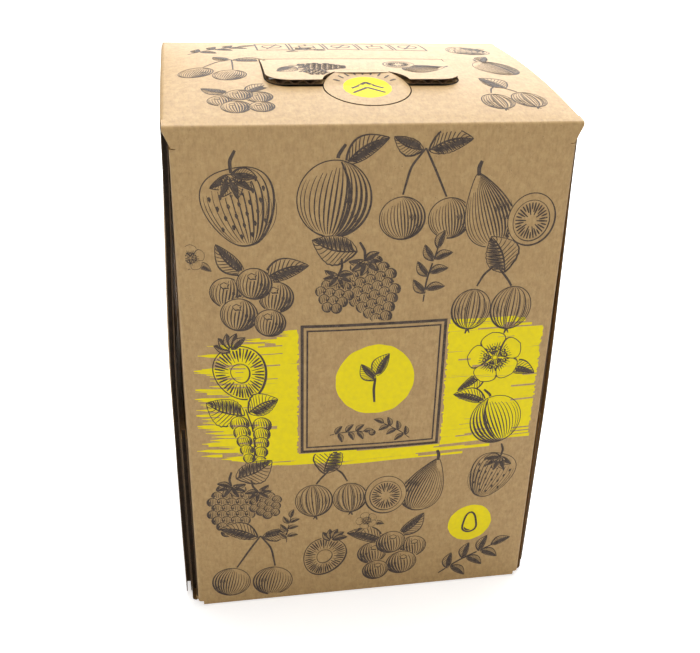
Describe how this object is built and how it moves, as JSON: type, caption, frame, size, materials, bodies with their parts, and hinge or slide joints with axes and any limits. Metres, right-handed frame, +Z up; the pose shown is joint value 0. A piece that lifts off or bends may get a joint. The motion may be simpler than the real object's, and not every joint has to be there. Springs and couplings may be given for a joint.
{
  "type": "bag in box carton",
  "caption": "Upright corrugated carton holding a filled sealed bag, with a lift-up flap in its top over a press tap that sits in a well in the bag.",
  "frame": {"origin": "on the floor under the middle of the carton", "axes": "+Z up, -Y out of the printed front panel, +X to the right as seen from the front"},
  "size_m": [0.1854, 0.157, 0.2586],
  "materials": {
    "kraft_board": "matt brown kraft board with a light mottle, printed in one dark ink and one yellow",
    "bag_film": "thin glossy laminated film",
    "white_plastic": "smooth moulded plastic",
    "red_plastic": "smooth moulded plastic",
    "seal_rubber": "soft dark rubber"
  },
  "bodies": {
    "carton_body": {"carton": "kraft_board", "juice_bag": "bag_film", "spout_gland": "white_plastic", "tap_body": "white_plastic"},
    "flap": {"tap_flap": "kraft_board"},
    "lever": {"tap_lever": "red_plastic"},
    "valve": {"valve_stem": "white_plastic", "valve_seal": "seal_rubber"}
  },
  "joints": [
    {"name": "flap_hinge", "type": "hinge", "parent": "carton_body", "child": "flap", "pos_m": [0, 0.00525, 0.2573], "axis": [-1, 0, 0], "range_deg": [0, 150]},
    {"name": "lever_pivot", "type": "hinge", "parent": "carton_body", "child": "lever", "pos_m": [-0.012, -0.016, 0.247], "axis": [0, 1, 0], "range_deg": [0, 15], "stiffness_Nm_per_rad": 0.15, "springref_deg": -11.46},
    {"name": "valve_slide", "type": "slide", "parent": "carton_body", "child": "valve", "axis": [0, 0, -1], "range_m": [0, 0.0033]}
  ],
  "couplings": [
    {"joint": "valve_slide", "follows": "lever_pivot", "m_per_rad": 0.012}
  ]
}
